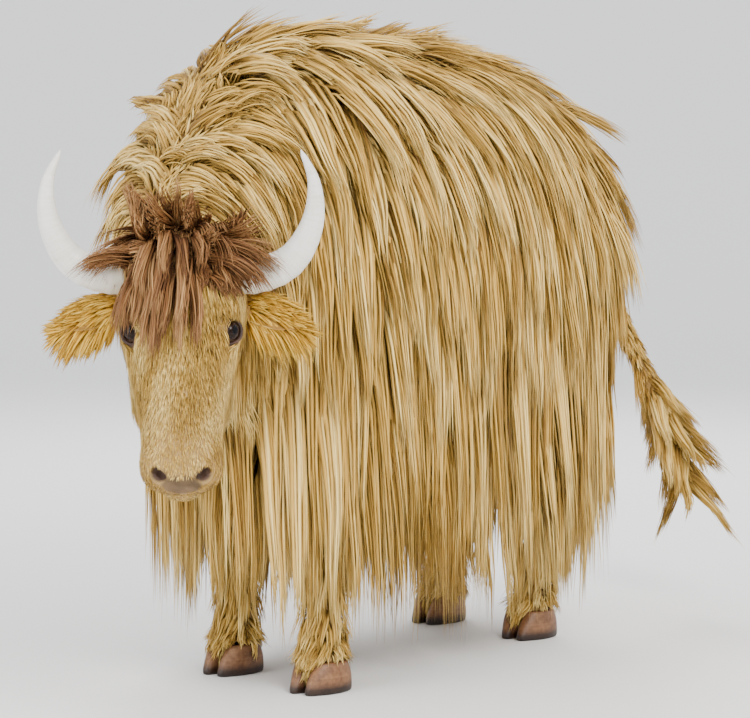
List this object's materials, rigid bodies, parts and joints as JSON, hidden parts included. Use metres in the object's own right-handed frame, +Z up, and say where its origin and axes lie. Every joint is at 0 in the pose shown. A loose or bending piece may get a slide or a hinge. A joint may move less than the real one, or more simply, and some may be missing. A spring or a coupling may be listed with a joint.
{
  "type": "yak",
  "caption": "Life-size long-haired yak standing on all fours, head low and turned to its left, with a shaggy skirt, forelock, upswept horns and a full tail switch.",
  "frame": {"origin": "bottom centre of the animal's bounding box, on the ground that the hooves stand on", "axes": "+X forward along the trunk, +Y to the animal's left, +Z up"},
  "size_m": [2.338, 0.9034, 1.5554],
  "materials": {
    "coat": "matt long golden-tan hair",
    "forelock": "matt red-brown hair",
    "ear": "matt short ochre hair",
    "horn": "smooth ivory-white horn, satin",
    "hoof": "brown hoof horn, satin",
    "eye": "wet dark eye, gloss"
  },
  "bodies": {
    "root": {"claw_front_left_inner": "hoof", "claw_front_left_outer": "hoof", "claw_front_right_inner": "hoof", "claw_front_right_outer": "hoof", "claw_hind_left_inner": "hoof", "claw_hind_left_outer": "hoof", "claw_hind_right_inner": "hoof", "claw_hind_right_outer": "hoof", "ear_left": "ear", "ear_right": "ear", "eye_left": "eye", "eye_right": "eye", "head": "coat", "horn_left": "horn", "horn_right": "horn", "leg_front_left": "coat", "leg_front_right": "coat", "leg_hind_left": "coat", "leg_hind_right": "coat", "neck": "coat", "tail": "coat", "tail_switch": "coat", "torso": "coat"}
  },
  "joints": []
}
